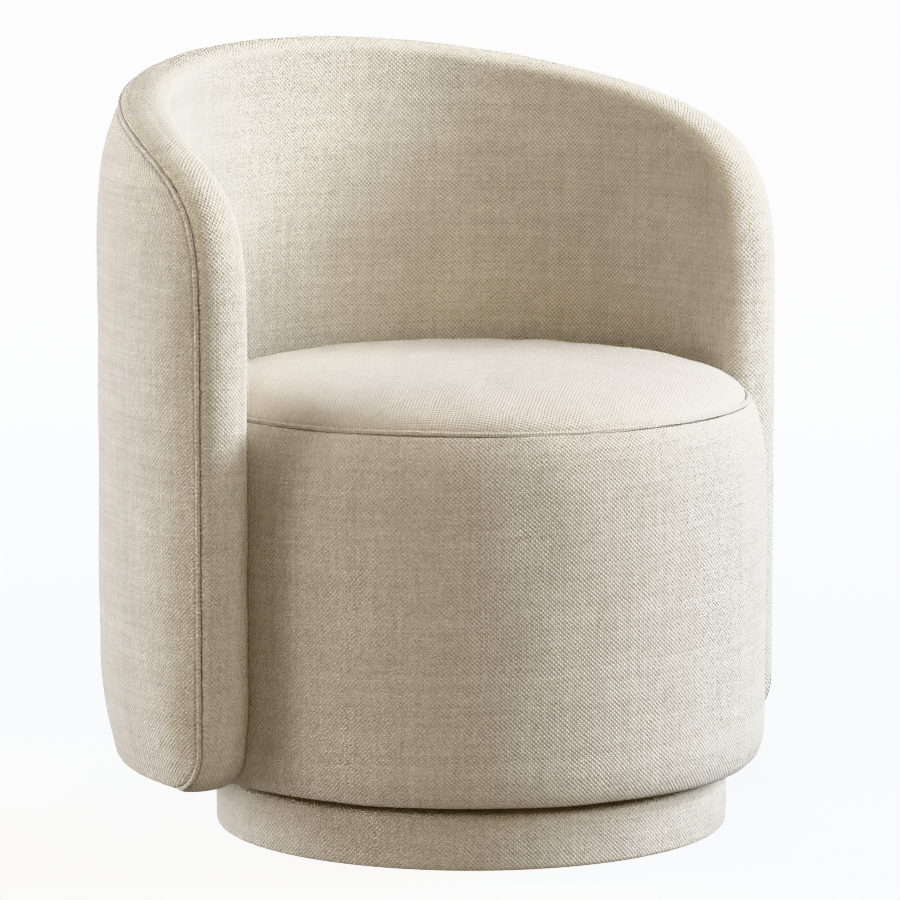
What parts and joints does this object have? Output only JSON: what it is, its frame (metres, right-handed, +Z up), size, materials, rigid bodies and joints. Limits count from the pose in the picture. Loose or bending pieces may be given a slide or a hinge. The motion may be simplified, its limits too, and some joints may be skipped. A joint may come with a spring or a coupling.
{
  "type": "swivel armchair",
  "caption": "Upholstered barrel armchair: a round drum seat inside a padded wrap-round shell, turning on a ball-bearing swivel above a round fabric-covered plinth.",
  "frame": {"origin": "on the floor under the swivel axis, at the middle of the centre glide's lower face", "axes": "+Z up along the swivel axis; the chair faces -Y and its back is towards +Y; +X is to the sitter's left"},
  "size_m": [0.7066, 0.6368, 0.7329],
  "materials": {
    "cream_weave": "coarse basket weave, matt",
    "cream_piping": "bias-cut weave over a round cord",
    "upholstery_foam": "cut polyurethane foam",
    "plywood": "sanded birch plywood",
    "softwood": "planed",
    "fibreboard": "smooth",
    "zinc_steel": "zinc plated",
    "bright_steel": "ground",
    "nylon_cage": "moulded",
    "nylon_glide": "moulded",
    "black_cambric": "non-woven",
    "elastic_webbing": "ribbed elastic",
    "grey_felt": "pressed fibre"
  },
  "bodies": {
    "plinth": {"plinth_bottom_board": "plywood", "plinth_ring_wall": "plywood", "plinth_blocks": "softwood", "plinth_top_board": "plywood", "plinth_screws": "zinc_steel", "plinth_padding": "upholstery_foam", "plinth_cover": "cream_weave", "plinth_dust_cover": "black_cambric", "floor_glides": "nylon_glide", "centre_glide": "nylon_glide", "swivel_lower_plate": "zinc_steel", "lower_plate_bolts": "zinc_steel", "lower_tee_nuts": "zinc_steel"},
    "ball_ring": {"ball_cage": "nylon_cage", "bearing_balls": "bright_steel"},
    "seat": {"swivel_upper_plate": "zinc_steel", "upper_plate_bolts": "zinc_steel", "upper_tee_nuts": "zinc_steel", "king_pin": "bright_steel", "pin_washer": "zinc_steel", "pin_lock_nut": "zinc_steel", "drum_bottom_board": "plywood", "drum_uprights": "softwood", "drum_top_ring": "plywood", "drum_screws": "zinc_steel", "drum_side_panel": "fibreboard", "drum_foam_wrap": "upholstery_foam", "drum_cover": "cream_weave", "drum_dust_cover": "black_cambric", "seat_webbing": "elastic_webbing", "seat_felt": "grey_felt", "seat_foam": "upholstery_foam", "seat_cover": "cream_weave", "seat_piping": "cream_piping", "shell_inner_panel": "plywood", "shell_outer_panel": "fibreboard", "shell_top_rail": "softwood", "shell_bottom_rail": "softwood", "shell_front_posts": "softwood", "shell_ribs": "softwood", "back_foam": "upholstery_foam", "outer_padding": "upholstery_foam", "back_cover_inner": "cream_weave", "back_cover_outer": "cream_weave", "back_piping": "cream_piping", "shell_spacers": "softwood", "shell_bolts": "zinc_steel", "shell_bolt_washers": "zinc_steel", "shell_tee_nuts": "zinc_steel"}
  },
  "joints": [
    {"name": "swivel", "type": "hinge", "parent": "plinth", "child": "seat", "pos_m": [0, 0, 0.06], "axis": [0, 0, 1], "continuous": true},
    {"name": "ball_ring_turn", "type": "hinge", "parent": "plinth", "child": "ball_ring", "pos_m": [0, 0, 0.0595], "axis": [0, 0, 1], "continuous": true}
  ],
  "couplings": [
    {"joint": "ball_ring_turn", "follows": "swivel", "ratio": 0.5}
  ]
}
